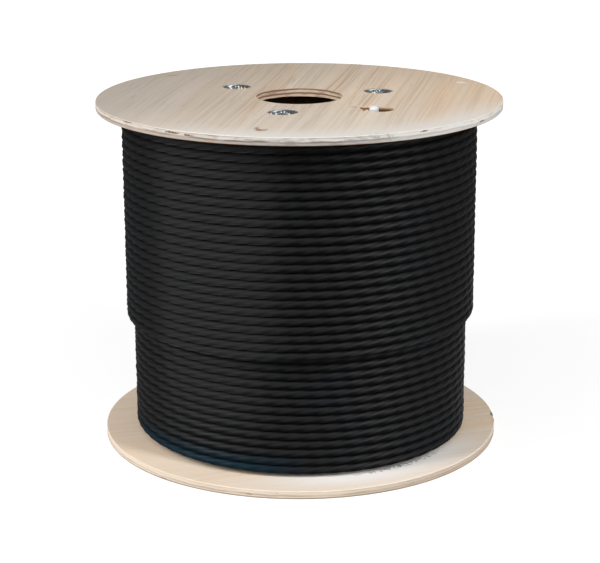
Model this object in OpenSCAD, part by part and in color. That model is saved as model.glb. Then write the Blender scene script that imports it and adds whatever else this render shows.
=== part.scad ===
// Wooden cable drum, standing on its lower flange with the axis upright.
// Two plywood flanges are clamped on a board barrel by three tie rods.
// Round cable is wound on the barrel in nested layers, and the last layer stops part way down.
// The inner end of the cable comes up through a hole in the top flange, under a white cap.

/* [Flanges] */
// Diameter of each plywood flange
flange_d = 400; // [380:5:500]
// Thickness of the plywood
flange_t = 8; // [8:0.5:18]
// Bevel along the rim edges
rim_bevel = 0.6; // [0.2:0.1:1.5]
// Clear width between the flanges
traverse = 327.5; // [260:0.5:450]
// Diameter of the spindle hole in both flanges
arbor_d = 85; // [40:1:110]

/* [Barrel] */
// Outside diameter of the barrel
barrel_d = 192; // [176:1:206]
// Wall of the barrel
barrel_wall = 6; // [4:0.5:8]
// Depth of the groove in each flange that the barrel stands in
groove_depth = 2; // [1:0.25:2.5]
// Room on each side of the barrel wall in its groove
groove_room = 0.15; // [0.05:0.05:0.3]

/* [Cable] */
// Diameter of the cable
cable_d = 8.3; // [7:0.1:9]
// Gap between one turn and the next
turn_gap = 0.2; // [0.1:0.05:0.5]
// Layers wound over the full width
full_layers = 10; // [6:1:11]
// Turns in the last layer, counted from the top flange
last_turns = 24; // [6:1:28]
// Room between the barrel and the winding
wrap_room = 0.1; // [0.05:0.05:0.3]

/* [Lead-out] */
// Diameter of the hole where the inner cable end comes out
lead_d = 26; // [20:0.5:30]
// Distance of that hole's centre outside the barrel
lead_out = 7.7; // [7:0.1:12]
// Direction of that hole from the drum axis
lead_angle = -42.1; // [-60:0.1:-20]
// Depth of the face veneer torn out beside that hole
tear_depth = 1.4; // [0.8:0.1:2]
// Direction of the cable end from the drum axis
end_angle = -45.1; // [-46:0.1:-39]
// Height of the capped end above the top flange
end_proud = 3.5; // [2:0.1:8]
// Length of the white cap
cap_l = 9; // [8.5:0.1:10]
// Wall of the white cap
cap_wall = 0.2; // [0.15:0.05:0.5]
// Rounding of the cap's closed end, which is as thick as its rounding
cap_round = 3.5; // [1.5:0.1:4]
// Room between the cap and the cable
cap_room = 0.05; // [0.02:0.01:0.1]

/* [Tie rods] */
// Diameter of the tie rods
rod_d = 6; // [5:0.5:7]
// Distance of the rods' centres inside the barrel's inner wall
rod_inset = 6.5; // [5:0.5:12]
// Direction of the first rod from the drum axis
rod_angle = 19.2; // [0:0.1:60]
// Room round each rod in the plywood
rod_room = 0.4; // [0.2:0.1:0.8]
// Drop of the rod's end below the nut's outer face
rod_short = 0.4; // [0.1:0.1:1]

/* [Washers and nuts] */
// Diameter of the dished washers
washer_d = 29; // [26:0.5:32]
// Sheet thickness of the washers
washer_t = 1.2; // [0.8:0.1:1.5]
// Width of the flat lip round the dish
washer_lip = 2; // [1:0.25:3]
// Diameter of the flat seat under the nut
washer_seat_d = 13; // [12:0.5:16]
// Drop of the lip below the face of the plywood
lip_sink = 0.4; // [0.2:0.1:0.8]
// Room between a washer and the pressed recess
dish_room = 0.1; // [0.05:0.05:0.2]
// Width across the flats of the nuts
nut_af = 10; // [9:0.5:11]
// Height of the nuts
nut_h = 3.2; // [2.8:0.1:3.6]
// Chamfer on the corners of the nuts
nut_chamfer = 0.5; // [0.2:0.1:0.8]
// Drop of the nut's outer face below the face of the plywood
nut_sink = 0.3; // [0.1:0.1:0.6]
// Turn of each nut about its rod
nut_turn = [30, 38, 24];
// Room round each rod in its washers
washer_room = 0.25; // [0.1:0.05:0.5]
// Room round each rod in its nuts
thread_room = 0.05; // [0.02:0.01:0.1]

/* [Hidden] */
$fn = 96;
eps = 0.01;
// Heights of the two inner faces and the top face
low_in = flange_t;
top_in = flange_t + traverse;
drum_h = top_in + flange_t;
// Nested turns: distance along the axis, and from layer to layer
pitch = cable_d + turn_gap;
layer_step = sqrt(pow(cable_d, 2) - pow(pitch / 2, 2));
layers = full_layers + 1;
full_turns = floor((traverse - pitch / 2) / pitch);
// The solid bed stands this far outside the centres of the turns
bed_rise = 0.12 * cable_d;
// The bed of the last layer reaches this far below its last turn
step_fill = 0.36 * cable_d;
// Radius of the turn centres in layer k, counted from the barrel
function layer_r(k) = barrel_d / 2 + cable_d / 2 + (k - 1) * layer_step;
// Odd layers of the stack touch the top flange, the ones between touch the lower flange
function touches_top(k) = (layers - k) % 2 == 0;
// Height of turn i in layer k, counted down from the top flange
function turn_z(k, i) = top_in - (touches_top(k) ? pitch / 2 : pitch) - i * pitch;
bed_top = turn_z(layers, 0) + bed_rise;
bed_low = turn_z(full_layers, full_turns - 1) - bed_rise;
last_z = turn_z(layers, last_turns - 1);
// Tie rods stand inside the barrel
rod_r = barrel_d / 2 - barrel_wall - rod_inset;
rods = 3;
// Dish of the washers, from the lip down to the seat
seat_drop = nut_sink + nut_h;
dish_steps = 10;
// Outline of the torn veneer from the centre of the lead-out hole, along the grain
tear = [[-19, 11.5], [-15.5, 10.5], [-10.5, 11.5], [-11.5, 4], [-13, -2], [-14.5, -5.5],
    [-16.5, -10], [-17.5, -3], [-19, 4]];
// Cable end: on the first turn, up through the lead-out hole
end_r = layer_r(1);
end_z = top_in - pitch / 2;
cap_d = cable_d + 2 * cap_room + 2 * cap_wall;
cap_top = drum_h + end_proud;
end_top = cap_top - cap_round - cap_room;

function numbered(name) = [for (i = [1:rods]) str(name, "_", i)];

// Place children at tie rod i
module at_rod(i) {
    rotate([0, 0, rod_angle + (i - 1) * 360 / rods])
        translate([rod_r, 0, 0])
            rotate([0, 0, -rod_angle - (i - 1) * 360 / rods])
                children();
}

// Place children at the lead-out hole
module at_lead_out() {
    rotate([0, 0, lead_angle])
        translate([barrel_d / 2 + lead_out, 0, 0])
            rotate([0, 0, -lead_angle])
                children();
}

// Turn a part modelled with its outer face at height 0 so that it faces up or down
module facing_up() {
    translate([0, 0, drum_h])
        children();
}

module facing_down() {
    rotate([180, 0, 0])
        children();
}

// Outline of the dish from the seat out to the lip: an S curve below the face
function dish_line(drop) = [for (i = [0:dish_steps])
    let (share = i / dish_steps, rise = (1 - cos(180 * share)) / 2)
    [washer_seat_d / 2 + share * (washer_d / 2 - washer_lip - washer_seat_d / 2),
        -seat_drop + rise * (seat_drop - lip_sink) - drop]];

function reversed(list) = [for (i = [len(list) - 1:-1:0]) list[i]];

// Dished washer with its lip just below height 0
module dished_washer() {
    color("#b4b6b6")
        rotate_extrude()
            polygon(concat(
                [[rod_d / 2 + washer_room, -seat_drop]],
                dish_line(0),
                [[washer_d / 2, -lip_sink], [washer_d / 2, -lip_sink - washer_t]],
                reversed(dish_line(washer_t)),
                [[rod_d / 2 + washer_room, -seat_drop - washer_t]]));
}

// Recess that the washer is pressed into, with the rod's hole through the plywood
module washer_recess() {
    rotate_extrude()
        polygon(concat(
            [[0, -seat_drop - washer_t]],
            dish_line(washer_t),
            [[washer_d / 2 + dish_room, -lip_sink - washer_t],
                [washer_d / 2 + dish_room, eps], [0, eps]]));
    translate([0, 0, -flange_t - eps])
        cylinder(d = rod_d + 2 * rod_room, h = flange_t + 2 * eps);
}

// Thin hex nut with its outer face just below height 0
module thin_nut() {
    color("#9b9d9e")
        translate([0, 0, -nut_sink - nut_h])
            difference() {
                intersection() {
                    cylinder(d = nut_af / cos(30), h = nut_h, $fn = 6);
                    rotate_extrude()
                        polygon([[0, 0], [nut_af / 2, 0], [nut_af / cos(30) / 2, nut_chamfer],
                            [nut_af / cos(30) / 2, nut_h - nut_chamfer], [nut_af / 2, nut_h],
                            [0, nut_h]]);
                }
                translate([0, 0, -eps])
                    cylinder(d = rod_d + 2 * thread_room, h = nut_h + 2 * eps);
            }
}

// Plywood disc with its outer face at height 0 and its inner face flange_t below
module flange_blank() {
    difference() {
        rotate_extrude()
            polygon([[arbor_d / 2, -flange_t], [flange_d / 2 - rim_bevel, -flange_t],
                [flange_d / 2, -flange_t + rim_bevel], [flange_d / 2, -rim_bevel],
                [flange_d / 2 - rim_bevel, 0], [arbor_d / 2, 0]]);
        translate([0, 0, -flange_t - eps])
            rotate_extrude()
                translate([barrel_d / 2 - barrel_wall - groove_room, 0])
                    square([barrel_wall + 2 * groove_room, groove_depth + eps]);
    }
}

module top_flange() {
    color("#d6c4ad")
        difference() {
            facing_up()
                flange_blank();
            for (i = [1:rods])
                at_rod(i)
                    facing_up()
                        washer_recess();
            at_lead_out()
                translate([0, 0, top_in - eps])
                    cylinder(d = lead_d, h = flange_t + 2 * eps);
            at_lead_out()
                translate([0, 0, drum_h - tear_depth])
                    linear_extrude(tear_depth + eps)
                        polygon(tear);
        }
}

module bottom_flange() {
    color("#d8c3a8")
        difference() {
            facing_down()
                flange_blank();
            for (i = [1:rods])
                at_rod(i)
                    facing_down()
                        washer_recess();
        }
}

module barrel() {
    color("#8a6f52")
        translate([0, 0, low_in - groove_depth])
            difference() {
                cylinder(d = barrel_d, h = traverse + 2 * groove_depth);
                translate([0, 0, -eps])
                    cylinder(d = barrel_d - 2 * barrel_wall, h = traverse + 2 * groove_depth + 2 * eps);
            }
}

// Half section of the winding: a solid bed, the turns seen on the outside and the turns at the ends
module winding_section() {
    translate([0, bed_low])
        square([layer_r(full_layers) + bed_rise, bed_top - bed_low]);
    translate([0, last_z - step_fill])
        square([layer_r(layers) + bed_rise, bed_top - last_z + step_fill]);
    for (i = [0:last_turns - 1])
        translate([layer_r(layers), turn_z(layers, i)])
            circle(d = cable_d);
    for (i = [last_turns - 1:full_turns - 1])
        translate([layer_r(full_layers), turn_z(full_layers, i)])
            circle(d = cable_d);
    for (k = [1:full_layers])
        translate([layer_r(k), touches_top(k) ? turn_z(k, 0) : turn_z(k, full_turns - 1)])
            circle(d = cable_d);
}

module cable_winding() {
    color("#1f2022")
        rotate_extrude()
            difference() {
                winding_section();
                square([barrel_d / 2 + wrap_room, drum_h]);
            }
}

// Cable end standing on the top turn of the first layer
module cable_end() {
    color("#1f2022")
        difference() {
            rotate([0, 0, end_angle])
                translate([end_r, 0, end_z + bed_rise])
                    cylinder(d = cable_d, h = end_top - end_z - bed_rise);
            rotate_extrude()
                translate([end_r, end_z])
                    circle(d = cable_d);
        }
}

module end_cap() {
    color("#f2f3f5")
        rotate([0, 0, end_angle])
            translate([end_r, 0, cap_top - cap_l])
                difference() {
                    rotate_extrude()
                        intersection() {
                            union() {
                                square([cap_d / 2, cap_l - cap_round]);
                                square([cap_d / 2 - cap_round, cap_l]);
                                translate([cap_d / 2 - cap_round, cap_l - cap_round])
                                    circle(r = cap_round);
                            }
                            square([cap_d / 2, cap_l]);
                        }
                    translate([0, 0, -eps])
                        cylinder(d = cable_d + 2 * cap_room, h = cap_l - cap_round + eps);
                }
}

module tie_rod(i) {
    color("#8f9192")
        at_rod(i)
            translate([0, 0, nut_sink + rod_short])
                cylinder(d = rod_d, h = drum_h - 2 * nut_sink - 2 * rod_short);
}

module top_washer(i) {
    at_rod(i)
        facing_up()
            dished_washer();
}

module bottom_washer(i) {
    at_rod(i)
        facing_down()
            dished_washer();
}

module top_nut(i) {
    at_rod(i)
        facing_up()
            rotate([0, 0, nut_turn[i - 1]])
                thin_nut();
}

module bottom_nut(i) {
    at_rod(i)
        facing_down()
            rotate([0, 0, nut_turn[i - 1]])
                thin_nut();
}

top_flange();
bottom_flange();
barrel();
cable_winding();
cable_end();
end_cap();
for (i = [1:rods]) {
    tie_rod(i);
    top_washer(i);
    bottom_washer(i);
    top_nut(i);
    bottom_nut(i);
}
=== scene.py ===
# %% [markdown]
# # A wooden cable drum
# The drum stands on its lower flange: two plywood discs, clamped on a board barrel by three tie
# rods, with black cable wound between them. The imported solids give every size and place. This
# lesson dresses them: the cable is laid turn by turn, and each surface gets a finish made of nodes.

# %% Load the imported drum
import math
import bpy
import numpy as np
from mathutils import Matrix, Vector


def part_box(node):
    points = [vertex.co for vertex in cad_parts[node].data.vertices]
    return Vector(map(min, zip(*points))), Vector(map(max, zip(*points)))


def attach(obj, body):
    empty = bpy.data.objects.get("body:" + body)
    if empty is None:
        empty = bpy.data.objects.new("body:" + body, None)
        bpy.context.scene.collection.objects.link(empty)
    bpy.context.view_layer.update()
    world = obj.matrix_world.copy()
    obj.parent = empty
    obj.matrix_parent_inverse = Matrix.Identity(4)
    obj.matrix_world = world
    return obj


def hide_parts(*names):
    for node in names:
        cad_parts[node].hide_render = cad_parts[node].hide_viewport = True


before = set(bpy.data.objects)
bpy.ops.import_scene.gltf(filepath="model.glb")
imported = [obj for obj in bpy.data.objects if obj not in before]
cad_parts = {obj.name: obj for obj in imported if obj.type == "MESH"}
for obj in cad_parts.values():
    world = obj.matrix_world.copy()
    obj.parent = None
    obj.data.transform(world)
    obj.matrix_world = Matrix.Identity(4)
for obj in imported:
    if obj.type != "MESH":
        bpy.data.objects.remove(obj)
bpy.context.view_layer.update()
MM = 0.001
print("nodes:", sorted(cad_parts))

# %% [markdown]
# ## Camera
# The photograph is taken from the front, a little above the drum, with a long lens. A camera can be
# moved by eye until the picture fits. Here its height, distance, tilt and lens were fitted to the
# rims of both flanges and are entered as numbers, because the eye is less exact with a long lens.

# %% Place the camera
PHOTO_W = 600
CAMERA_AT = (0.0, -1.726, 0.661)
CAMERA_TILT = 16.40
CAMERA_ROLL = -0.205
LENS_PX = 1771
SENSOR = 36.0
bpy.ops.object.camera_add()
camera = bpy.context.object
camera.matrix_world = (Matrix.Translation(CAMERA_AT)
                       @ Matrix.Rotation(math.radians(90 - CAMERA_TILT), 4, "X")
                       @ Matrix.Rotation(math.radians(CAMERA_ROLL), 4, "Z"))
camera.data.sensor_width = SENSOR
camera.data.lens = LENS_PX * SENSOR / PHOTO_W
bpy.context.scene.camera = camera
print("lens: %.1f mm" % camera.data.lens)

# %% [markdown]
# ## Node helpers
# Every finish below is a small graph of shader nodes. The graphs could be drawn by hand in the shader
# editor. In a script a few helpers keep them short: the first ones add a node, link or set its inputs
# and start a material, and the others do a sum, a smooth step, a blend of two colours, a stain on a
# colour and a noise that may be stretched along an axis.

# %% Helpers that add nodes
def node(tree, kind, inputs=None, **settings):
    made = tree.nodes.new(kind)
    for key, value in settings.items():
        setattr(made, key, value)
    for key, value in (inputs or {}).items():
        if isinstance(value, bpy.types.NodeSocket):
            tree.links.new(value, made.inputs[key])
        else:
            made.inputs[key].default_value = value
    return made


def new_finish(name):
    material = bpy.data.materials.new(name)
    material.use_nodes = True
    tree = material.node_tree
    return material, tree, tree.nodes["Principled BSDF"]


def object_place(tree):
    return node(tree, "ShaderNodeTexCoord").outputs["Object"]


def split(tree, place):
    return node(tree, "ShaderNodeSeparateXYZ", {0: place}).outputs


def add_bump(tree, shader, height, depth, strength=1.0):
    bump = node(tree, "ShaderNodeBump", {"Height": height, "Strength": strength, "Distance": depth})
    tree.links.new(bump.outputs[0], shader.inputs["Normal"])


print("helpers: node, new_finish, object_place, split, add_bump")


# %% Helpers that work out values and colours
def calc(tree, operation, a, b=0.5, c=0.5):
    return node(tree, "ShaderNodeMath", {0: a, 1: b, 2: c}, operation=operation).outputs[0]


def times(tree, a, b):
    return calc(tree, "MULTIPLY", a, b)


def vector(tree, operation, a, b):
    return node(tree, "ShaderNodeVectorMath", {0: a, 1: b}, operation=operation).outputs[0]


def length_of(tree, place):
    return node(tree, "ShaderNodeVectorMath", {0: place}, operation="LENGTH").outputs["Value"]


def step(tree, value, low, high, to_low=0.0, to_high=1.0):
    return node(tree, "ShaderNodeMapRange", {0: value, 1: low, 2: high, 3: to_low, 4: to_high},
                interpolation_type="SMOOTHSTEP").outputs[0]


def blend(tree, amount, a, b):
    return node(tree, "ShaderNodeMix", {0: amount, 6: a, 7: b}, data_type="RGBA").outputs[2]


def stain(tree, base, colour, mask, amount):
    return blend(tree, times(tree, mask, amount), base, colour)


def noise(tree, place, scale, detail=3.0, rough=0.55):
    spot = vector(tree, "MULTIPLY", place, scale)
    return node(tree, "ShaderNodeTexNoise",
                {"Vector": spot, "Scale": 1.0, "Detail": detail, "Roughness": rough}).outputs["Fac"]


print("helpers: calc, times, vector, length_of, step, blend, stain, noise")

# %% [markdown]
# ## Floor
# A product is often photographed on a white sweep, a sheet that runs from the table up behind it. A
# white floor would need so much light that the drum would bleach. So the floor is a grey plane that
# takes the drum's shadow and adds white where the camera or a reflection sees it. The camera sees it
# all white. Reflections see only the sweep under and behind the drum, as if dark flags stood around
# it, because a white room would turn the black cable grey.

# %% Floor with a white sweep
FLOOR_SIZE = 30.0
FLOOR_GREY = (0.34, 0.34, 0.34, 1)
FLOOR_GLOW = 0.74
GLOW_FROM, GLOW_TO = 0.35, 1.6
SWEEP_HALF = 0.33
SWEEP_WIDENS = 0.17
SWEEP_FADE = 0.60
SWEEP_FRONT = -0.35
FRONT_FADE = 0.22
bpy.ops.object.select_all(action="DESELECT")
bpy.ops.mesh.primitive_plane_add(size=FLOOR_SIZE)
floor = bpy.context.object
floor.name = "floor"
floor_paint, tree, shader = new_finish("floor_paint")
shader.inputs["Base Color"].default_value = FLOOR_GREY
shader.inputs["Roughness"].default_value = 0.9
shader.inputs["Specular IOR Level"].default_value = 0.1
away = length_of(tree, object_place(tree))
rays = node(tree, "ShaderNodeLightPath").outputs
mirrored = calc(tree, "MAXIMUM", rays["Is Glossy Ray"], rays["Is Transmission Ray"])
spot = split(tree, object_place(tree))
half = calc(tree, "MULTIPLY_ADD", calc(tree, "MAXIMUM", spot["Y"], 0.0), SWEEP_WIDENS, SWEEP_HALF)
beside = calc(tree, "SUBTRACT", calc(tree, "ABSOLUTE", spot["X"]), half)
sweep = times(tree, step(tree, beside, 0.0, SWEEP_FADE, 1.0, 0.0),
              step(tree, spot["Y"], SWEEP_FRONT - FRONT_FADE, SWEEP_FRONT))
seen = calc(tree, "MAXIMUM", rays["Is Camera Ray"], times(tree, mirrored, sweep))
glow = times(tree, seen, step(tree, away, GLOW_FROM, GLOW_TO, FLOOR_GLOW, 1.0))
white = node(tree, "ShaderNodeEmission", {"Strength": glow})
both = node(tree, "ShaderNodeAddShader", {0: shader.outputs[0], 1: white.outputs[0]})
tree.links.new(both.outputs[0], tree.nodes["Material Output"].inputs["Surface"])
floor.data.materials.append(floor_paint)
print("floor: %.0f m wide, white sweep %.2f m wide at the drum" % (FLOOR_SIZE, 2 * SWEEP_HALF))

# %% [markdown]
# ## Studio light
# Black cable shows its shape by what it mirrors. Two upright softboxes, at the front left and the front
# right, draw the two bands of light on it. A wide lamp high in front lights the flanges, and a small
# one high at the back puts a glint into the dished washers and reaches the far side. One large lamp
# would be simpler, but it would leave a single flat band.

# %% Soft light
AIM = (0.0, 0.0, 0.17)
WORLD_WHITE = (1, 1, 1, 1)
WORLD_LIGHT = 0.12


def softbox(name, azimuth, elevation, distance, size, watts):
    turn, lift = math.radians(azimuth), math.radians(elevation)
    outward = Matrix.Rotation(turn, 4, "Z") @ Matrix.Rotation(math.pi / 2 - lift, 4, "X")
    bpy.ops.object.light_add(type="AREA")
    lamp = bpy.context.object
    lamp.name = name
    lamp.data.shape = "RECTANGLE"
    lamp.data.size, lamp.data.size_y = size
    lamp.data.energy = watts
    lamp.matrix_world = Matrix.Translation(AIM) @ outward @ Matrix.Translation((0, 0, distance))
    print("%s: %.0f W" % (name, watts))


softbox("left_softbox", azimuth=-64, elevation=22, distance=2.2, size=(0.55, 2.0), watts=54)
softbox("right_softbox", azimuth=52, elevation=22, distance=2.2, size=(0.38, 2.0), watts=42)
softbox("overhead", azimuth=0, elevation=60, distance=2.6, size=(3.4, 1.6), watts=22)
softbox("back_softbox", azimuth=160, elevation=50, distance=2.4, size=(1.2, 0.6), watts=6)
world = bpy.data.worlds.new("studio")
world.use_nodes = True
world.node_tree.nodes["Background"].inputs["Color"].default_value = WORLD_WHITE
world.node_tree.nodes["Background"].inputs["Strength"].default_value = WORLD_LIGHT
bpy.context.scene.world = world
bpy.context.scene.view_settings.view_transform = "Standard"

# %% [markdown]
# ## Path of the cable
# The winding is one cable. It was wound clockwise, seen from above: the layer below rises to the
# top flange, climbs one layer there, and the last layer comes down again and stops part way. So the
# turns are slightly sloped, one way above the step and the other way below it. Stacked rings would be
# easier, but they would be level. A list of points along the path, with a little seeded unevenness,
# is all that the cable needs.

# %% Points along the winding
CABLE_D = 8.3 * MM
PITCH = 8.5 * MM
FULL_LAYERS = 10
UNEVEN_SEED = 11
top_low, top_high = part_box("top_flange")
low_low, low_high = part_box("bottom_flange")
under_top, over_low = top_low[2], low_high[2]
barrel_r = 0.5 * (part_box("barrel")[1][0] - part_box("barrel")[0][0])
layer_step = math.sqrt(CABLE_D ** 2 - (PITCH / 2) ** 2)
below_r = barrel_r + CABLE_D / 2 + (FULL_LAYERS - 1) * layer_step
last_r = below_r + layer_step
uneven = np.random.default_rng(UNEVEN_SEED)


def smooth_noise(turns, per_turn, size):
    count = int(turns.max() * per_turn) + 4
    return np.interp(turns * per_turn, np.arange(count), uneven.uniform(-size, size, count))


def around(azimuth_deg, turns, radius, height):
    angle = math.radians(azimuth_deg) - 2 * math.pi * turns
    return np.stack([radius * np.cos(angle), radius * np.sin(angle), height], 1)


def ease(x):
    x = np.clip(x, 0, 1)
    return x * x * (3 - 2 * x)


print("layer radii: %.1f and %.1f mm" % (below_r / MM, last_r / MM))

# %% [markdown]
# ## Outline of the cable
# The cable is not quite round. Four twisted pairs inside press through the jacket as four low ridges
# that wind slowly along it. They could be a bump in the finish, but then the grooves between turns
# would stay even. A curve can carry the shape: a closed outline with four lobes serves as its bevel,
# and the tilt of its points turns the outline as it goes. The ridges are then real geometry, and the
# grooves open and close as they do on the drum.

# %% Outline with four lobes
LOBES = 4
CREST_R = 4.37 * MM
LOBE_DEPTH = 0.42 * MM
VALLEY_SHAPE = 1.3
OUTLINE_POINTS = 24
bpy.ops.object.select_all(action="DESELECT")
bpy.ops.curve.primitive_nurbs_circle_add()
outline_curve = bpy.context.object
outline_curve.data.splines.clear()
ring = outline_curve.data.splines.new("POLY")
ring.points.add(OUTLINE_POINTS - 1)
angle = np.arange(OUTLINE_POINTS) * 2 * math.pi / OUTLINE_POINTS
valley = 0.5 * (1 - np.cos(LOBES * angle))
radius = CREST_R - LOBE_DEPTH * valley ** VALLEY_SHAPE
corners = np.column_stack([radius * np.cos(angle), radius * np.sin(angle), 0 * angle, 0 * angle + 1])
ring.points.foreach_set("co", corners.ravel())
ring.use_cyclic_u = True
thin, thick = 2 * radius.min() / MM, 2 * radius.max() / MM
print("outline: %d points, %.2f to %.2f mm across" % (len(corners), thin, thick))

# %% [markdown]
# ## Laying the cable
# A path curve takes the points, the outline above gives it its section, and converting it to a mesh
# also gives a UV map that runs along and around the cable. Sweeping the mesh face by face would do
# the same with more code. The jacket's finish uses that map later. The lay of the ridges is chosen so
# that one round of the drum is close to a whole number of ridges. Those of neighbouring turns then
# nearly meet, and short dark slits are left between them.

# %% Cable along a list of points
LAY_LENGTH = 78.1 * MM


def lay_cable(name, points):
    points[:, 2] = points[:, 2].clip(over_low + CREST_R, under_top - CREST_R)
    length = np.r_[0, np.linalg.norm(np.diff(points, axis=0), axis=1).cumsum()]
    bpy.ops.object.select_all(action="DESELECT")
    bpy.ops.curve.primitive_nurbs_path_add()
    run = bpy.context.object
    run.name = name
    path = run.data
    path.splines.clear()
    line = path.splines.new("POLY")
    line.points.add(len(points) - 1)
    line.points.foreach_set("co", np.column_stack([points, np.ones(len(points))]).ravel())
    line.points.foreach_set("tilt", -2 * math.pi * length / LAY_LENGTH)
    path.dimensions = "3D"
    path.twist_mode = "Z_UP"
    path.bevel_mode = "OBJECT"
    path.bevel_object = outline_curve
    path.use_fill_caps = True
    bpy.ops.object.convert(target="MESH")
    bpy.ops.object.shade_smooth()
    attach(run, "root")
    triangles = sum(len(face.vertices) - 2 for face in run.data.polygons)
    print("%s: %.1f m, %d triangles" % (name, length[-1], triangles))
    return run, length[-1]


ridges = [LOBES * 2 * math.pi * layer_r / LAY_LENGTH for layer_r in (below_r, last_r)]
print("ridges in one round: %.1f below and %.1f in the last layer" % tuple(ridges))

# %% [markdown]
# ## Lower turns
# Below the step the last full layer shows, rising from the bottom flange. A helix over the whole
# height would be hidden above the step, so this run ends a few turns higher, behind the last layer.
# Its first end comes up out of the layer underneath, so that no cut end shows. Height and radius stray
# by a fraction of a millimetre, because even rows would look drawn with a ruler.

# %% Turns from the bottom flange up
STEPS_PER_TURN = 156
LOW_START = 36.0
LOW_TURNS = 17.0
RISE_TURNS = 0.12
HEIGHT_WAVES, HEIGHT_STRAY = 5, 0.10 * MM
RADIUS_WAVES, RADIUS_STRAY = 7, 0.22 * MM
turns = np.arange(0, LOW_TURNS, 1 / STEPS_PER_TURN)
height = over_low + PITCH / 2 + PITCH * turns + smooth_noise(turns, HEIGHT_WAVES, HEIGHT_STRAY)
radius = below_r + smooth_noise(turns, RADIUS_WAVES, RADIUS_STRAY)
radius -= layer_step * ease(1 - turns / RISE_TURNS)
lower_run, lower_length = lay_cable("cable_lower_turns", around(LOW_START, turns, radius, height))

# %% [markdown]
# ## Upper turns
# Under the top flange the same layer ends, climbs onto itself and becomes the last layer, which comes
# down about 24 turns. One run of points does all three. Its outer end is tucked under the turn above
# it, at the back, and lifts that turn a little. The end could just stop, but a drum in store has its
# end tucked in, so that the winding stays tight.

# %% Turns from the climb to the tucked end
TOP_END = 205.0
LAST_START = 119.0
LAST_TURNS = 24.05
EARLY_TURNS = 1.6
WAVE_SHIFT = 2
TUCK_TURNS, TUCK_DEPTH = 0.14, 1.5 * MM
LIFT_BEFORE_END, LIFT_TURNS, LIFT_HEIGHT = 1.03, 0.05, 6.0 * MM
turns = np.arange(-EARLY_TURNS, LAST_TURNS, 1 / STEPS_PER_TURN)
climb = (LAST_START - TOP_END) / -360
last_part = ease(turns / climb + 1)
radius = below_r + layer_step * last_part + smooth_noise(turns + WAVE_SHIFT, RADIUS_WAVES, RADIUS_STRAY)
drop = PITCH / 2 + PITCH * np.clip(turns, 0, None) + PITCH * np.clip(-turns - climb, 0, None)
height = under_top - drop + smooth_noise(turns + WAVE_SHIFT, HEIGHT_WAVES, HEIGHT_STRAY)
tuck = ease((turns - LAST_TURNS + TUCK_TURNS) / TUCK_TURNS)
height += PITCH * tuck
radius -= TUCK_DEPTH * tuck
lift = np.exp(-((turns - LAST_TURNS + LIFT_BEFORE_END) / LIFT_TURNS) ** 2)
radius += LIFT_HEIGHT * lift
upper_run, upper_length = lay_cable("cable_upper_turns", around(LAST_START, turns, radius, height))
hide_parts("cable_winding")
bpy.data.objects.remove(outline_curve)

# %% [markdown]
# ## Layers inside
# The layers under the visible turns show only as darkness between them, and as rings through the
# lead-out hole. Laying them turn by turn would cost many triangles that nobody sees. They are one
# turned body instead: its outline is extruded vertex by vertex and spun round the drum's axis, as on
# a lathe.

# %% Lathe
MERGE_OUTLINE, MERGE_SEAM = 1e-6, 1e-5
SMOOTH_BELOW = math.radians(40)


def turned(name, outline, segments):
    bpy.ops.object.select_all(action="DESELECT")
    bpy.ops.mesh.primitive_plane_add(size=1)
    piece = bpy.context.object
    piece.name = name
    bpy.ops.object.mode_set(mode="EDIT")
    bpy.ops.mesh.select_all(action="SELECT")
    bpy.ops.mesh.merge(type="CENTER")
    bpy.ops.transform.translate(value=(outline[0][0], 0, outline[0][1]))
    for start, end in zip(outline, outline[1:] + outline[:1]):
        move = (end[0] - start[0], 0, end[1] - start[1])
        bpy.ops.mesh.extrude_region_move(TRANSFORM_OT_translate={"value": move})
    bpy.ops.mesh.select_all(action="SELECT")
    bpy.ops.mesh.remove_doubles(threshold=MERGE_OUTLINE)
    bpy.ops.mesh.spin(steps=segments, angle=2 * math.pi, center=(0, 0, 0), axis=(0, 0, 1))
    bpy.ops.mesh.select_all(action="SELECT")
    bpy.ops.mesh.remove_doubles(threshold=MERGE_SEAM)
    bpy.ops.mesh.normals_make_consistent(inside=False)
    bpy.ops.object.mode_set(mode="OBJECT")
    bpy.ops.object.shade_smooth_by_angle(angle=SMOOTH_BELOW)
    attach(piece, "root")
    print("%s: %d faces" % (name, len(piece.data.polygons)))
    return piece


print("lathe ready, smooth below %.0f degrees" % math.degrees(SMOOTH_BELOW))

# %% Turned body of the inner layers
BEHIND_TURNS = 3.5 * MM
BARREL_ROOM = 0.1 * MM
SEGMENTS = 128
ARC_STEPS = 6
ARC_HALF = math.radians(60)
ARC_SINK = 0.02
inner_r = barrel_r + BARREL_ROOM
foot = over_low + PITCH / 2
step_height = under_top - PITCH * (LAST_TURNS - 0.5)
outline = [(inner_r, foot), (below_r - BEHIND_TURNS, foot), (below_r - BEHIND_TURNS, step_height),
           (last_r - BEHIND_TURNS, step_height), (last_r - BEHIND_TURNS, under_top - PITCH)]
for layer in range(FULL_LAYERS - 1, 0, -1):
    middle = barrel_r + CABLE_D / 2 + (layer - 1) * layer_step
    crest = PITCH / 2 if layer % 2 else PITCH
    for i in range(ARC_STEPS + 1):
        swing = ARC_HALF * (1 - 2 * i / ARC_STEPS)
        outline.append((middle + CABLE_D / 2 * math.sin(swing),
                        under_top - crest + CABLE_D / 2 * (math.cos(swing) - ARC_SINK)))
outline.append((inner_r, outline[-1][1]))
inner_layers = turned("cable_inner_layers", outline, SEGMENTS)

# %% [markdown]
# ## Skin of the jacket
# The jacket is black plastic with a dull satin skin. Some stretches are greyer and some a little
# bluer, the ridges are rubbed smoother than the valleys, and drawing the jacket leaves faint lines
# along the cable. A picture could be wrapped round it, but the UV map already gives length and girth,
# so noise stretched along the cable does all of that. Base and gloss stay low: black plastic is
# nearly as dark in the light as in the shade.

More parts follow.
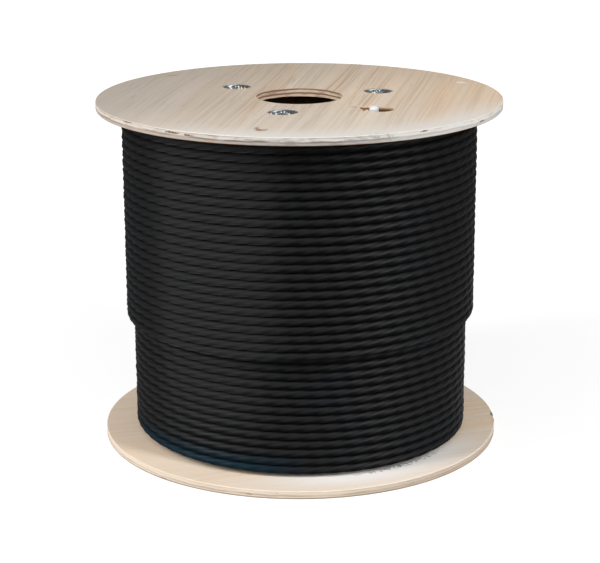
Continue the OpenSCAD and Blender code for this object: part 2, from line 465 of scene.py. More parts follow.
# %% Skin as it was drawn
BLACK = (0.0045, 0.0046, 0.0048, 1)
RUBBED = (0.0070, 0.0071, 0.0074, 1)
BLUISH = (0.0042, 0.0068, 0.0092, 1)
VALLEY_SHADE = (0.0035, 0.0036, 0.0038, 1)


def drawn_skin(tree, skin, place):
    tone = noise(tree, skin, (5, 2, 1))
    shade = blend(tree, step(tree, tone, 0.35, 0.70), BLACK, RUBBED)
    tint = step(tree, noise(tree, place, (9, 9, 16), 2.0), 0.54, 0.68)
    shade = stain(tree, shade, BLUISH, tint, 0.7)
    return shade, step(tree, tone, 0.3, 0.7, 0.48, 0.55)


def between_ridges(tree, girth):
    swing = calc(tree, "COSINE", times(tree, girth, 2 * math.pi * LOBES))
    return step(tree, swing, -1.0, 0.6, 1.0, 0.0)


print("blacks from %.4f to %.4f" % (VALLEY_SHADE[0], RUBBED[0]))

# %% [markdown]
# ## Wear and painted light on the jacket
# The turns are not equally black. Their undersides are duller and get painted shade. A dusty film lies
# on the front left, rougher and lighter there as painted fill light, and painted light breaks the dark
# grooves where two ridges press together. The far left is painted a flat grey with less gloss in place
# of its sheen, and the lowest turns have a bluish gloss. Each of these is a zone, given by the side of
# the drum that it faces and by its height, and it changes shade, roughness and gloss together. Painting
# them by hand would need an image. Zones follow the drum's own axes and need none.

# %% Zones of wear and painted light
UNDERSIDE_SHADE = (0.0025, 0.0026, 0.0028, 1)
DUSTY_AND_LIT = (0.0120, 0.0122, 0.0125, 1)
GROOVE_LIGHT = (0.034, 0.034, 0.035, 1)
FAR_LEFT_FLAT_GREY = (0.0085, 0.0086, 0.0088, 1)
TEAL = (0.0025, 0.0095, 0.0170, 1)
FULL_GLOSS = (1, 1, 1, 1)
DULL_GLOSS = (0.25, 0.25, 0.25, 1)
FAR_LEFT_LOW_GLOSS = (0.15, 0.15, 0.15, 1)
TEAL_GLOSS = (0.45, 0.85, 1.0, 1)
FILM_AND_FILL_SIDE, FILM_AND_FILL_HEIGHT = (-122, 150 * MM, 171 * MM), (25 * MM, 95 * MM)
FAR_LEFT_SIDE = (-165, 148 * MM, 168 * MM)
TEAL_SIDE, TEAL_HEIGHT = (-127, 122 * MM, 160 * MM), (16 * MM, 36 * MM)


def towards(tree, place, azimuth_deg, low, high):
    turn = math.radians(azimuth_deg)
    facing = (math.cos(turn), math.sin(turn), 0)
    reach = node(tree, "ShaderNodeVectorMath", {0: place, 1: facing}, operation="DOT_PRODUCT")
    return step(tree, reach.outputs["Value"], low, high)


def wear_and_painted_light(tree, place, shade, rough, valley):
    facing = split(tree, node(tree, "ShaderNodeNewGeometry").outputs["Normal"])["Z"]
    up = split(tree, place)["Z"]
    # A dusty film on the front left: rougher, and its lighter colour is painted fill light.
    film = times(tree, towards(tree, place, *FILM_AND_FILL_SIDE), step(tree, up, *FILM_AND_FILL_HEIGHT))
    shade = stain(tree, shade, DUSTY_AND_LIT, film, 0.65)
    rough = calc(tree, "MULTIPLY_ADD", film, 0.16, rough)
    # Painted shade: the undersides of the turns are darker, and they are also duller.
    dull_shaded_underside = step(tree, facing, -0.40, 0.25, 1.0, 0.0)
    dull_shaded_underside = times(tree, dull_shaded_underside, calc(tree, "MULTIPLY_ADD", film, -0.8, 1.0))
    shade = stain(tree, shade, UNDERSIDE_SHADE, dull_shaded_underside, 0.7)
    rough = calc(tree, "MULTIPLY_ADD", dull_shaded_underside, 0.30, rough)
    gloss = blend(tree, dull_shaded_underside, FULL_GLOSS, DULL_GLOSS)
    if valley is not None:
        # Painted light: undersides are lighter where two ridges press together, so the dark grooves break
        # into slits.
        lit_groove = step(tree, facing, -0.80, -0.15, 1.0, 0.0)
        lit_groove = times(tree, lit_groove, calc(tree, "SUBTRACT", 1.0, valley))
        shade = stain(tree, shade, GROOVE_LIGHT, lit_groove, film)
    # The far left is painted a flat grey with less gloss, in place of its grazing sheen.
    far_left = towards(tree, place, *FAR_LEFT_SIDE)
    shade = stain(tree, shade, FAR_LEFT_FLAT_GREY, far_left, 0.6)
    gloss = stain(tree, gloss, FAR_LEFT_LOW_GLOSS, far_left, 0.7)
    rough = calc(tree, "MULTIPLY_ADD", far_left, 0.15, rough)
    teal = times(tree, towards(tree, place, *TEAL_SIDE), step(tree, up, *TEAL_HEIGHT, 0.9, 0.0))
    return blend(tree, teal, shade, TEAL), rough, blend(tree, teal, gloss, TEAL_GLOSS)


print("zones of wear face %d, %d and %d degrees" % (FILM_AND_FILL_SIDE[0], FAR_LEFT_SIDE[0], TEAL_SIDE[0]))

# %% [markdown]
# ## Jacket on the cable
# Skin, wear and painted light go into one finish. Each run has its own length, so each gets its own
# copy, and a plain one serves the layers inside and the cable end, which have no ridges. A fine pebble
# and the drawn lines are bump, because they are far too small to be modelled.

# %% Jacket finish
JACKET_GLOSS = 0.165
PEBBLE_DEPTH = 0.03 * MM


def jacket(name, length, lobed=True):
    material, tree, shader = new_finish(name)
    place = object_place(tree)
    lay = split(tree, node(tree, "ShaderNodeTexCoord").outputs["UV"])
    along = times(tree, lay["X"], length)
    skin = node(tree, "ShaderNodeCombineXYZ", {0: along, 1: lay["Y"]}).outputs[0]
    shade, rough = drawn_skin(tree, skin, place)
    valley = None
    if lobed:
        valley = between_ridges(tree, lay["Y"])
        # Painted shade: the valleys between the ridges are darker.
        shade = stain(tree, shade, VALLEY_SHADE, valley, 0.6)
        rough = calc(tree, "MULTIPLY_ADD", valley, 0.10, rough)
    shade, rough, gloss = wear_and_painted_light(tree, place, shade, rough, valley)
    tree.links.new(gloss, shader.inputs["Specular Tint"])
    tree.links.new(shade, shader.inputs["Base Color"])
    tree.links.new(rough, shader.inputs["Roughness"])
    shader.inputs["Specular IOR Level"].default_value = JACKET_GLOSS
    drawn = noise(tree, skin, (12, 60, 1), 2.0)
    pebble = noise(tree, place, (1400, 1400, 1400), 2.0)
    add_bump(tree, shader, calc(tree, "MULTIPLY_ADD", drawn, 0.6, pebble), PEBBLE_DEPTH, 0.5)
    return material


def refinish(names, material):
    for name in names:
        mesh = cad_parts[name].data
        mesh.materials.clear()
        mesh.materials.append(material)


lower_run.data.materials.append(jacket("jacket_lower", lower_length))
upper_run.data.materials.append(jacket("jacket_upper", upper_length))
plain_jacket = jacket("jacket_inside", 1.0, lobed=False)
inner_layers.data.materials.append(plain_jacket)
refinish(["cable_end"], plain_jacket)
print("jackets:", lower_run.data.materials[0].name, upper_run.data.materials[0].name)

# %% [markdown]
# ## Veneer grain
# The flanges are plywood. Rotary-cut veneer shows broad streaks of grey and tan, long thin dark lines
# where the year rings surface, and short pores. Each is noise stretched along the grain. The thin
# lines are the places where a smooth noise crosses its middle value: they run on and swerve like the
# real ones, where plain stripes would look printed.

# %% Direction and tones of the grain
WANDER = 3 * MM


def along_grain(tree, place, grain_deg):
    turn = {"Vector": place, "Rotation": (0, 0, math.radians(-grain_deg))}
    straight = node(tree, "ShaderNodeMapping", turn).outputs[0]
    wander = noise(tree, straight, (3, 8, 1), 1.0)
    shift = node(tree, "ShaderNodeCombineXYZ", {1: step(tree, wander, 0.2, 0.8, -WANDER, WANDER)})
    return vector(tree, "ADD", straight, shift.outputs[0])


def veneer_tones(tree, grain, grey, tan, pale, amber):
    broad = noise(tree, grain, (1.5, 9, 1), 2.0)
    streak = noise(tree, grain, (1.4, 42, 1), 4.0, 0.65)
    amber_streak = noise(tree, grain, (1.1, 24, 1), 3.0, 0.6)
    colour = blend(tree, step(tree, broad, 0.36, 0.64), grey, tan)
    colour = blend(tree, step(tree, streak, 0.42, 0.76, 0.0, 0.75), colour, pale)
    return blend(tree, step(tree, amber_streak, 0.50, 0.70, 0.0, 0.75), colour, amber)


print("grain wanders by %.0f mm" % (WANDER / MM))

# %% Lines and pores of the grain
DARK_LINE = (0.30, 0.20, 0.125, 1)
# Noise scale along and across the grain, width of the line in noise levels, and its strength
LONG_LINES = ((0.22, 40, 1), 0.017, 0.50)
SHORT_LINES = ((2.4, 130, 1), 0.028, 0.46)
FINE_LINES = ((1.4, 240, 1), 0.050, 0.42)


def ring_lines(tree, grain, scale, width, strength):
    level = noise(tree, grain, scale, 2.0)
    off = calc(tree, "ABSOLUTE", calc(tree, "SUBTRACT", level, 0.5))
    return times(tree, step(tree, off, 0.0, width, 1.0, 0.0), strength)


def veneer_lines(tree, grain, fibre, strength):
    bold = step(tree, noise(tree, grain, (2.2, 26, 1), 2.0), 0.46, 0.62, 0.7, 1.4)
    crowd = step(tree, noise(tree, grain, (1.5, 18, 1), 2.0), 0.30, 0.58)
    lines = times(tree, ring_lines(tree, grain, *LONG_LINES), bold)
    lines = calc(tree, "MAXIMUM", lines, ring_lines(tree, grain, *SHORT_LINES))
    lines = calc(tree, "MAXIMUM", lines, times(tree, ring_lines(tree, grain, *FINE_LINES), crowd))
    pores = times(tree, step(tree, noise(tree, grain, (80, 1500, 1), 1.0), 0.62, 0.72), 0.35)
    lines = times(tree, calc(tree, "MAXIMUM", lines, pores), strength)
    return calc(tree, "MAXIMUM", lines, step(tree, fibre, 0.45, 0.75, 0.0, 0.16))


def veneer(tree, place, grain_deg, strength, tones):
    grain = along_grain(tree, place, grain_deg)
    fibre = noise(tree, grain, (16, 700, 1), 3.0)
    lines = veneer_lines(tree, grain, fibre, strength)
    face = blend(tree, lines, veneer_tones(tree, grain, *tones), DARK_LINE)
    return face, calc(tree, "SUBTRACT", fibre, lines)


print("grain line strengths:", LONG_LINES[-1], SHORT_LINES[-1], FINE_LINES[-1])

# %% [markdown]
# ## Plies on the cut edges
# Rims and hole walls show the veneers edge on: pale plies with thin brown glue lines. On the outer
# rim they are weathered, greyer and broken by small voids, while the bored holes are clean and redder.
# The plies could be separate rings, but in the real board they are glued to one. So height in the
# flange picks the ply, and noise bends and breaks the lines.

# %% Cut edges
# Height of each glue line as a share of the thickness, and how strongly it shows on the rim
GLUE_LINES = {0.42: 1.0, 0.91: 0.45}
GLUE_CORE, GLUE_EDGE = 0.05, 0.15
PLY_CHANGE = 0.05
PLY_WAVE = 0.07
BORED_RADIUS = 60 * MM
BORED_FADE = 2 * MM
BORED_WOOD = (0.66, 0.52, 0.38, 1)
BORED_GLUE = (0.24, 0.105, 0.055, 1)
EDGE_STREAK = (0.36, 0.29, 0.22, 1)
EDGE_VOID = (0.07, 0.045, 0.03, 1)


def from_axis(tree, place):
    return length_of(tree, vector(tree, "MULTIPLY", place, (1, 1, 0)))


def glue_lines(tree, level, bored):
    glue = None
    for height, weight in GLUE_LINES.items():
        off = calc(tree, "ABSOLUTE", calc(tree, "SUBTRACT", level, height))
        line = step(tree, off, GLUE_CORE, GLUE_EDGE, 1.0, 0.0)
        line = times(tree, line, calc(tree, "MAXIMUM", bored, weight))
        glue = line if glue is None else calc(tree, "MAXIMUM", glue, line)
    return glue


def cut_edge(tree, place, low, thickness, rim_pale, rim_under, rim_line):
    share = calc(tree, "DIVIDE", calc(tree, "SUBTRACT", split(tree, place)["Z"], low), thickness)
    wave = step(tree, noise(tree, place, (45, 45, 30)), 0.2, 0.8, -PLY_WAVE, PLY_WAVE)
    level = calc(tree, "ADD", share, wave)
    bored = step(tree, from_axis(tree, place), BORED_RADIUS, BORED_RADIUS + BORED_FADE, 1.0, 0.0)
    lowest = min(GLUE_LINES)
    upper_ply = step(tree, level, lowest - PLY_CHANGE, lowest + PLY_CHANGE)
    pale = blend(tree, bored, blend(tree, upper_ply, rim_under, rim_pale), BORED_WOOD)
    streak = noise(tree, place, (30, 30, 800), 3.0)
    body = blend(tree, step(tree, streak, 0.40, 0.70, 0.0, 0.22), pale, EDGE_STREAK)
    broken = step(tree, noise(tree, place, (26, 26, 6)), 0.36, 0.58, 0.45, 1.0)
    broken = calc(tree, "MAXIMUM", broken, bored)
    line_tone = blend(tree, bored, rim_line, BORED_GLUE)
    colour = stain(tree, body, line_tone, glue_lines(tree, level, bored), broken)
    gaps = step(tree, noise(tree, place, (55, 55, 420), 2.0), 0.70, 0.74)
    gaps = times(tree, gaps, calc(tree, "SUBTRACT", 1.0, bored))
    return blend(tree, gaps, colour, EDGE_VOID), streak


print("glue lines at", list(GLUE_LINES), "of the flange's thickness")

# %% [markdown]
# ## Single marks
# Besides grain, the photograph shows single marks, and each needs its own place, size and outline. A
# decal with an image would do it. A Mapping node does it without one: it moves the mark's own ellipse
# to the origin, where its size is 1, and noise makes the edge ragged. A wash is a wide mark without an
# edge, which grows towards one side of the flange.

# %% Patch, spot and wash
EVERY_HEIGHT = 1000.0
RIM_SPOT_DEPTH = 4 * MM


def mm(*values):
    return tuple(value * MM for value in values)


def patch(tree, place, centre, size, turn_deg=0.0, ragged=0.3):
    if len(centre) == 2:
        centre, size = (*centre, 0), (*size, EVERY_HEIGHT)
    inputs = {"Vector": place, "Location": centre, "Scale": size,
              "Rotation": (0, 0, math.radians(turn_deg))}
    local = node(tree, "ShaderNodeMapping", inputs, vector_type="TEXTURE").outputs[0]
    rough = step(tree, noise(tree, place, (420, 420, 420)), 0.25, 0.75, -ragged, ragged)
    return step(tree, calc(tree, "ADD", length_of(tree, local), rough), 0.7, 1.0, 1.0, 0.0)


def spot_on(tree, place, base, shape, amount, colour):
    return stain(tree, base, colour, patch(tree, place, *shape), amount)


def rim_spot(tree, place, azimuth_deg, share, length, height):
    turn = math.radians(azimuth_deg)
    level = top_low[2] + share * (top_high[2] - top_low[2])
    centre = (top_high[0] * math.sin(turn), -top_high[0] * math.cos(turn), level)
    return patch(tree, place, centre, (length, RIM_SPOT_DEPTH, height), azimuth_deg, 0.5)


def wash(tree, place, base, side, amount, colour):
    return stain(tree, base, colour, towards(tree, place, *side), amount)


print("marks are placed from the axis, rim radius %.0f mm" % (top_high[0] / MM))

# %% [markdown]
# ## Torn wood at the lead-out hole
# The veneer tore beside the lead-out hole and shows raw orange wood. The wall of the hole gets painted
# shade: it goes from fresh wood to brown to nearly black by its depth, a few millimetres down. That could
# be left to the light alone, but the pale wall would then throw light back up.

# %% Walls of the hole and of the torn veneer
LEAD_HOLE = mm(76.9, -69.5)
LEAD_R = 13.3 * MM
PATCH_CORE = 0.7
TORN_PLACE = (mm(62, -66), mm(16, 22), 0, 0.0)
# Depths at which each tone starts and is full
HALF_SHADE_FROM, SHADE_FROM, TORN_FROM = mm(0.7, 2.4), mm(2.5, 4.5), mm(0.2, 1.1)
FRESH_WOOD = (0.70, 0.51, 0.32, 1)
HALF_SHADED_WALL = (0.22, 0.115, 0.06, 1)
SHADED_WALL = (0.035, 0.019, 0.012, 1)
TORN_WALL = (0.27, 0.145, 0.07, 1)


def torn_edges(tree, place, edge):
    deep = calc(tree, "SUBTRACT", top_high[2], split(tree, place)["Z"])
    # Painted shade: the wall of the hole goes darker with its depth.
    wall = blend(tree, step(tree, deep, *HALF_SHADE_FROM), FRESH_WOOD, HALF_SHADED_WALL)
    wall = blend(tree, step(tree, deep, *SHADE_FROM), wall, SHADED_WALL)
    ragged = blend(tree, step(tree, deep, *TORN_FROM), FRESH_WOOD, TORN_WALL)
    edge = blend(tree, patch(tree, place, *TORN_PLACE), edge, ragged)
    reach = LEAD_R / PATCH_CORE
    hole = patch(tree, place, LEAD_HOLE, (reach, reach), 0, 0.0)
    return blend(tree, step(tree, hole, 0.90, 1.0), edge, wall)


print("lead-out hole: %.1f mm across" % (2 * LEAD_R / MM))

# %% [markdown]
# ## Marks on the top flange
# The face is greyer at the left and the back, warmer at the right and bleached along the front rim. It
# has a small torn ring near the front edge, a brown fleck at the back, a pale scratch at the right and
# a fleck by the lead-out hole. The rim is dirty, rubbed bare at the front right, smudged and tan at the
# left, and small voids open in it. They could be one painted image. As a row of marks, each laid over
# the ones before it, every one of them can be moved or left out by itself.

# %% Tones and spots of the top flange
# Side that each wash faces, where it starts and is full, its strength and its colour
TOP_WASHES = (((175, -40 * MM, 170 * MM), 0.60, (0.37, 0.345, 0.315, 1)),
              ((10, -40 * MM, 190 * MM), 0.45, (0.74, 0.575, 0.42, 1)),
              ((-85, 10 * MM, 170 * MM), 0.40, (0.72, 0.64, 0.55, 1)),
              ((90, 0.0, 190 * MM), 0.35, (0.38, 0.325, 0.265, 1)))
TOP_BLEACH_SIDE, TOP_BLEACH_RIM = (-72, 60 * MM, 170 * MM), mm(150, 199)
TOP_BLEACHED = (0.70, 0.665, 0.625, 1)
TEAR_OUTSIDE = (mm(-34.7, -161), mm(6.5, 11))
TEAR_INSIDE = (mm(-33.0, -156), mm(5.0, 9))
TORN_BROWN = (0.27, 0.155, 0.085, 1)
BACK_FLECK = ((mm(-133.4, 122.2), mm(8, 3.5), 10), 0.8, (0.42, 0.24, 0.14, 1))
SCRATCH = ((mm(166.1, 73.4), mm(5, 7), 30), 0.8, (0.80, 0.72, 0.62, 1))
LEAD_FLECK = ((mm(52, -58), mm(5, 3), 20, 0.5), 0.6, (0.36, 0.22, 0.12, 1))
SUNK_FULL, SUNK_FROM = mm(1.0, 0.4)
SUNK_WOOD = (0.29, 0.155, 0.075, 1)


def top_face_marks(tree, place, face):
    for tint in TOP_WASHES:
        face = wash(tree, place, face, *tint)
    paling = times(tree, towards(tree, place, *TOP_BLEACH_SIDE),
                   step(tree, from_axis(tree, place), *TOP_BLEACH_RIM))
    face = stain(tree, face, TOP_BLEACHED, paling, 0.85)
    tear = calc(tree, "SUBTRACT", patch(tree, place, *TEAR_OUTSIDE), patch(tree, place, *TEAR_INSIDE))
    face = blend(tree, calc(tree, "MAXIMUM", tear, 0.0), face, TORN_BROWN)
    face = spot_on(tree, place, face, *BACK_FLECK)
    face = spot_on(tree, place, face, *SCRATCH)
    up = split(tree, place)["Z"]
    sunk = step(tree, up, top_high[2] - SUNK_FULL, top_high[2] - SUNK_FROM, 1.0, 0.0)
    face = blend(tree, sunk, face, SUNK_WOOD)
    return spot_on(tree, place, face, *LEAD_FLECK)


print("top flange: %d washes and 4 spots" % len(TOP_WASHES))

# %% Rim of the top flange
RIM_DIRT = (0.23, 0.165, 0.125, 1)
BARE_RIM = ((-35, 120 * MM, 190 * MM), 0.55, (0.67, 0.645, 0.615, 1))
TAN_RIM = ((195, 60 * MM, 170 * MM), 0.4, (0.50, 0.40, 0.31, 1))
SMUDGE = (mm(60, -193), mm(30, 8), 18, 0.2)
FACE_SMUDGE = (0.27, 0.245, 0.23, 1)
EDGE_SMUDGE = (0.24, 0.22, 0.205, 1)
# Azimuth of each void from the front, its height as a share, its length and its height
RIM_VOIDS = ((-52, 0.90, 9 * MM, 0.8 * MM), (-35, 0.70, 9 * MM, 0.9 * MM), (-30, 0.62, 6 * MM, 0.8 * MM),
             (-24, 0.98, 3 * MM, 0.9 * MM), (34, 0.80, 4 * MM, 0.9 * MM), (58, 0.45, 4 * MM, 0.8 * MM))
RIM_VOID = (0.15, 0.095, 0.06, 1)


def top_marks(tree, place, face, edge):
    face = top_face_marks(tree, place, face)
    darkening = step(tree, noise(tree, place, (60, 60, 260), 4.0), 0.49, 0.62)
    edge = stain(tree, edge, RIM_DIRT, darkening, 0.55)
    edge = wash(tree, place, edge, *BARE_RIM)
    grime = step(tree, noise(tree, place, (90, 260, 400), 3.0), 0.42, 0.60)
    smudge = times(tree, times(tree, patch(tree, place, *SMUDGE), grime), 0.60)
    face = blend(tree, smudge, face, FACE_SMUDGE)
    edge = blend(tree, smudge, edge, EDGE_SMUDGE)
    edge = wash(tree, place, edge, *TAN_RIM)
    for void in RIM_VOIDS:
        edge = blend(tree, rim_spot(tree, place, *void), edge, RIM_VOID)
    return face, torn_edges(tree, place, edge)


print("top rim: %d voids" % len(RIM_VOIDS))

# %% [markdown]
# ## Marks on the bottom flange
# The lower flange is pale by the foot of the winding, partly bleached and partly painted light in the
# winding's shadow, and tan at the left and along the front. A ragged dark fringe, scuffed by the cable,
# runs along the foot. The rim is worn at the right, has two nicks there and is darker along its bottom
# edge. The same washes, stains and patches do it, measured from the foot of the winding where they belong
# to it.

# %% Tones and rim of the bottom flange
LOW_BLEACH_AND_LIGHT_SIDE = (-62, 112 * MM, 166 * MM)
PALE_PAST_FOOT, PALE_OUT_TO = mm(4, 197)
LOW_BLEACHED_AND_LIT = (0.86, 0.835, 0.805, 1)
LOW_WASHES = (((190, 60 * MM, 190 * MM), 0.30, (0.80, 0.625, 0.47, 1)),
              ((-112, 140 * MM, 192 * MM), 0.5, (0.72, 0.595, 0.47, 1)))
FRINGE_SIDE = (-54, 156 * MM, 169 * MM)
FRINGE_RAGGED = 8 * MM
FRINGE_FULL, FRINGE_END = mm(2.5, 5)
FRINGE = (0.06, 0.06, 0.062, 1)
WORN_RIM = ((-28, 120 * MM, 192 * MM), 0.45, (0.36, 0.265, 0.20, 1))
RIM_NICKS = ((mm(199.2, 3), mm(2.0, 7.0), 0, 0.25), (mm(199.8, -15), mm(1.8, 5.5), -4, 0.25))
NICK = (0.12, 0.10, 0.07, 1)
DARK_EDGE_HEIGHT = mm(0.8, 1.9)
BOTTOM_EDGE_DARK = (0.17, 0.12, 0.08, 1)


def bottom_marks(tree, place, face, edge):
    out = from_axis(tree, place)
    foot_r = below_r + CABLE_D / 2
    # The face by the foot of the winding is paler: partly bleach, partly painted light in the winding's
    # shadow.
    inner = step(tree, out, foot_r + PALE_PAST_FOOT, PALE_OUT_TO, 1.0, 0.40)
    paling = times(tree, towards(tree, place, *LOW_BLEACH_AND_LIGHT_SIDE), inner)
    face = stain(tree, face, LOW_BLEACHED_AND_LIT, paling, 0.92)
    for tint in LOW_WASHES:
        face = wash(tree, place, face, *tint)
    ragged = step(tree, noise(tree, place, (420, 420, 420), 4.0), 0.30, 0.70, 0.0, FRINGE_RAGGED)
    scuffed = calc(tree, "ADD", out, ragged)
    fringe = step(tree, scuffed, foot_r + FRINGE_FULL, foot_r + FRINGE_END, 1.0, 0.0)
    fringe = times(tree, fringe, towards(tree, place, *FRINGE_SIDE))
    face = stain(tree, face, FRINGE, fringe, 0.7)
    edge = wash(tree, place, edge, *WORN_RIM)
    for nick in RIM_NICKS:
        nicked = times(tree, patch(tree, place, *nick), 0.85)
        face = blend(tree, nicked, face, NICK)
        edge = blend(tree, nicked, edge, NICK)
    # The rim is darker towards its bottom edge.
    darkening = step(tree, split(tree, place)["Z"], *DARK_EDGE_HEIGHT, 0.9, 0.0)
    return face, blend(tree, darkening, edge, BOTTOM_EDGE_DARK)


print("bottom flange: %d washes, %d nicks" % (len(LOW_WASHES), len(RIM_NICKS)))

# %% [markdown]
# ## Plywood of each flange
# A flange is one solid with one finish, but its faces show veneer and its walls show plies. Two
# materials could be set face by face. One finish that asks which way the surface points needs no
# selection and follows every bevel: level surfaces get the veneer, upright ones the plies.

# %% Plywood finish
WOOD_GLOSS = 0.25
WOOD_RELIEF = 0.15 * MM


def plywood(name, grain, low, high, tones, rim, marks):
    material, tree, shader = new_finish(name)
    place = object_place(tree)
    face, relief = veneer(tree, place, *grain, tones)
    edge, streak = cut_edge(tree, place, low, high - low, *rim)
    face, edge = marks(tree, place, face, edge)
    normal = node(tree, "ShaderNodeNewGeometry").outputs["Normal"]
    on_face = step(tree, calc(tree, "ABSOLUTE", split(tree, normal)["Z"]), 0.35, 0.75)
    tree.links.new(blend(tree, on_face, edge, face), shader.inputs["Base Color"])
    tree.links.new(step(tree, relief, 0.0, 0.7, 0.78, 0.60), shader.inputs["Roughness"])
    shader.inputs["Specular IOR Level"].default_value = WOOD_GLOSS
    height = node(tree, "ShaderNodeMix", {0: on_face, 2: streak, 3: relief}).outputs[0]
    add_bump(tree, shader, height, WOOD_RELIEF, 0.6)
    return material


# Direction of the grain in degrees and strength of its lines
TOP_GRAIN, LOW_GRAIN = (80, 1.0), (17, 0.4)
# Grey, tan, pale and amber of the veneer
TOP_TONES = ((0.58, 0.50, 0.415, 1), (0.655, 0.53, 0.405, 1),
             (0.74, 0.645, 0.545, 1), (0.63, 0.455, 0.30, 1))
LOW_TONES = ((0.80, 0.67, 0.535, 1), (0.83, 0.665, 0.505, 1),
             (0.89, 0.785, 0.65, 1), (0.80, 0.595, 0.415, 1))
# Upper plies, lowest ply and glue lines of the rim
TOP_RIM = ((0.62, 0.595, 0.565, 1), (0.34, 0.325, 0.31, 1), (0.11, 0.08, 0.06, 1))
LOW_RIM = ((0.76, 0.65, 0.53, 1), (0.72, 0.61, 0.49, 1), (0.50, 0.385, 0.285, 1))
top_plywood = plywood("plywood_top", TOP_GRAIN, top_low[2], top_high[2], TOP_TONES, TOP_RIM, top_marks)
low_plywood = plywood("plywood_bottom", LOW_GRAIN, low_low[2], low_high[2], LOW_TONES, LOW_RIM, bottom_marks)
refinish(["top_flange"], top_plywood)
refinish(["bottom_flange"], low_plywood)
print("flanges:", top_plywood.name, low_plywood.name)

# %% [markdown]
# ## Zinc-plated steel
# Washers, nuts and rods are plated steel. Plating is bright but not a mirror: its roughness varies
# in patches, and a trace of grey film dulls it. The rods also show their thread. It could be cut as a
# helix, but it is hidden inside the barrel, so a bump of one wave for each turn is enough.

# %% Zinc finish
THREAD_PITCH = 1.0 * MM
THREAD_DEPTH = 0.25 * MM
BRIGHT_ZINC = (0.60, 0.63, 0.655, 1)
FILMED_ZINC = (0.49, 0.52, 0.545, 1)


def zinc(name, threaded=False):
    material, tree, shader = new_finish(name)
    place = object_place(tree)
    film = noise(tree, place, (60, 60, 60), 2.0)
    shade = blend(tree, step(tree, film, 0.35, 0.7), BRIGHT_ZINC, FILMED_ZINC)
    tree.links.new(shade, shader.inputs["Base Color"])
    tree.links.new(step(tree, film, 0.3, 0.7, 0.25, 0.33), shader.inputs["Roughness"])
    shader.inputs["Metallic"].default_value = 1.0
    if threaded:
        climb = times(tree, split(tree, place)["Z"], 2 * math.pi / THREAD_PITCH)
        add_bump(tree, shader, calc(tree, "SINE", climb), THREAD_DEPTH)
    return material


FASTENERS = ("top_washer", "bottom_washer", "top_nut", "bottom_nut")
fasteners = ["%s_%d" % (part, i) for part in FASTENERS for i in (1, 2, 3)]
rods = ["tie_rod_%d" % i for i in (1, 2, 3)]
refinish(fasteners, zinc("zinc_steel"))
refinish(rods, zinc("zinc_thread", threaded=True))
print("plated parts:", len(fasteners) + len(rods))

# %% [markdown]
# ## Barrel board and white cap
# The barrel is a tube wound from strips of wood-fibre board, brown, with a spiral seam. The seam could
# be cut into the tube, but it only shows through the spindle hole, so height minus turn gives a
# spiral in the finish. The cap is soft white plastic with a slightly uneven tone.

# %% Board and cap finishes
STRIP_WIDTH = 90 * MM
SEAM_SHARE = 0.03
FIBRE_RELIEF = 0.4 * MM
DARK_FIBRE, LIGHT_FIBRE = (0.17, 0.105, 0.06, 1), (0.33, 0.22, 0.13, 1)
SEAM_BROWN = (0.06, 0.035, 0.02, 1)
CAP_SHADE, CAP_LIGHT = (0.62, 0.63, 0.67, 1), (0.71, 0.715, 0.74, 1)


def board():
    material, tree, shader = new_finish("barrel_board")
    place = object_place(tree)
    xyz = split(tree, place)
    fibre = noise(tree, place, (180, 180, 180), 5.0)
    shade = blend(tree, fibre, DARK_FIBRE, LIGHT_FIBRE)
    turned_by = calc(tree, "DIVIDE", calc(tree, "ARCTAN2", xyz["Y"], xyz["X"]), 2 * math.pi)
    wound = calc(tree, "SUBTRACT", calc(tree, "DIVIDE", xyz["Z"], STRIP_WIDTH), turned_by)
    seam = step(tree, calc(tree, "FRACT", wound), 0.0, SEAM_SHARE, 1.0, 0.0)
    shade = blend(tree, seam, shade, SEAM_BROWN)
    tree.links.new(shade, shader.inputs["Base Color"])
    shader.inputs["Roughness"].default_value = 0.85
    add_bump(tree, shader, calc(tree, "SUBTRACT", fibre, seam), FIBRE_RELIEF, 0.5)
    return material


def white_cap():
    material, tree, shader = new_finish("white_cap")
    film = noise(tree, object_place(tree), (300, 300, 300))
    shade = blend(tree, film, CAP_SHADE, CAP_LIGHT)
    tree.links.new(shade, shader.inputs["Base Color"])
    shader.inputs["Roughness"].default_value = 0.38
    return material


refinish(["barrel"], board())
refinish(["end_cap"], white_cap())
print("barrel strips: %.0f mm wide" % (STRIP_WIDTH / MM))

# %% [markdown]
# ## Splinters
# Boring the lead-out hole and pressing the washers in tore up slivers of the face veneer. They stand
# at the edges and show fresh, pale wood. Scattered particles could do it, but here each sliver has its
# own place. One sliver is a slim four-sided cone. The others are copies of it with their own mesh, each
# laid at its own place, turn and tilt, and all are joined to one piece.

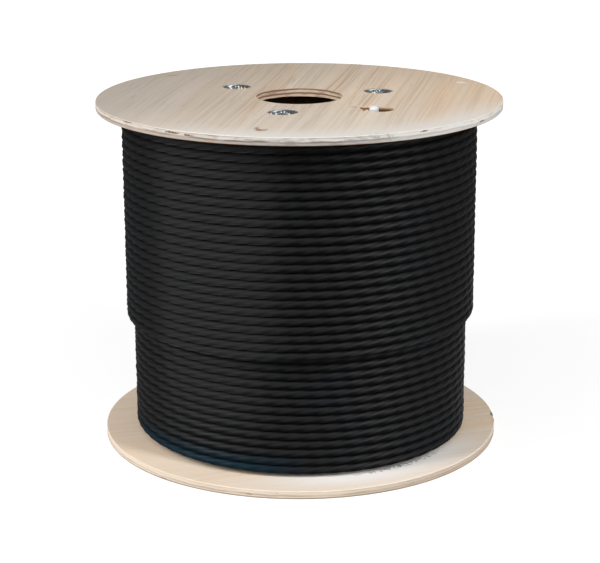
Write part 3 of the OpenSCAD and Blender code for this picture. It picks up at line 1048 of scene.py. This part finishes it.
# %% Splinters at the lead-out hole and the washers
# Place of the root and length in millimetres, turn and tilt in degrees
SPLINTERS = ((55, -57.0, 4.5, 60, 18), (58, -57.8, 3.6, 40, 22), (60.5, -58.6, 4.0, 28, 24),
             (62.5, -58.6, 4.6, 62, 28), (65, -57.9, 4.2, 24, 30), (67, -57.2, 4.4, 75, 36),
             (-61, 39.6, 3.0, 78, 42), (-58, 40.4, 3.6, 96, 50), (-54.5, 42.0, 3.0, 110, 36),
             (74.5, 12.9, 3.4, 84, 48), (-9.4, -96.0, 3.0, 98, 40), (-27, -92.3, 2.8, 70, 34))
SLIVER_WIDE, SLIVER_THICK = 2.6 * MM, 0.6 * MM
ROOT_DEPTH = 0.4 * MM
bpy.ops.object.select_all(action="DESELECT")
bpy.ops.mesh.primitive_cone_add(vertices=4, radius1=1, radius2=0, depth=1)
splinters = bpy.context.object
splinters.name = "veneer_splinters"
slivers = [splinters]
while len(slivers) < len(SPLINTERS):
    bpy.ops.object.duplicate()
    slivers.append(bpy.context.object)
for sliver, (x, y, length, turn, tilt) in zip(slivers, SPLINTERS):
    turn, tilt = math.radians(turn), math.radians(tilt)
    along = np.array([math.cos(turn) * math.cos(tilt), math.sin(turn) * math.cos(tilt), math.sin(tilt)])
    root = np.array([x * MM, y * MM, top_high[2] - ROOT_DEPTH])
    sliver.location = root + along * length * MM / 2
    sliver.rotation_euler = (0, math.pi / 2 - tilt, turn)
    sliver.scale = (SLIVER_THICK / 2, SLIVER_WIDE / 2, length * MM)
    sliver.select_set(True)
bpy.context.view_layer.objects.active = splinters
bpy.ops.object.join()
bpy.ops.object.transform_apply(location=True, rotation=True, scale=True)
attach(splinters, "root")
print("splinters:", len(SPLINTERS), "in one piece of", len(splinters.data.polygons), "faces")

# %% Fresh wood of the splinters
PALE_SPLINTER, TAN_SPLINTER = (0.84, 0.72, 0.54, 1), (0.58, 0.41, 0.25, 1)
fresh, tree, shader = new_finish("fresh_veneer")
fibre = noise(tree, object_place(tree), (900, 200, 900), 3.0)
tree.links.new(blend(tree, fibre, PALE_SPLINTER, TAN_SPLINTER), shader.inputs["Base Color"])
shader.inputs["Roughness"].default_value = 0.75
splinters.data.materials.append(fresh)
print("splinter finish:", fresh.name)
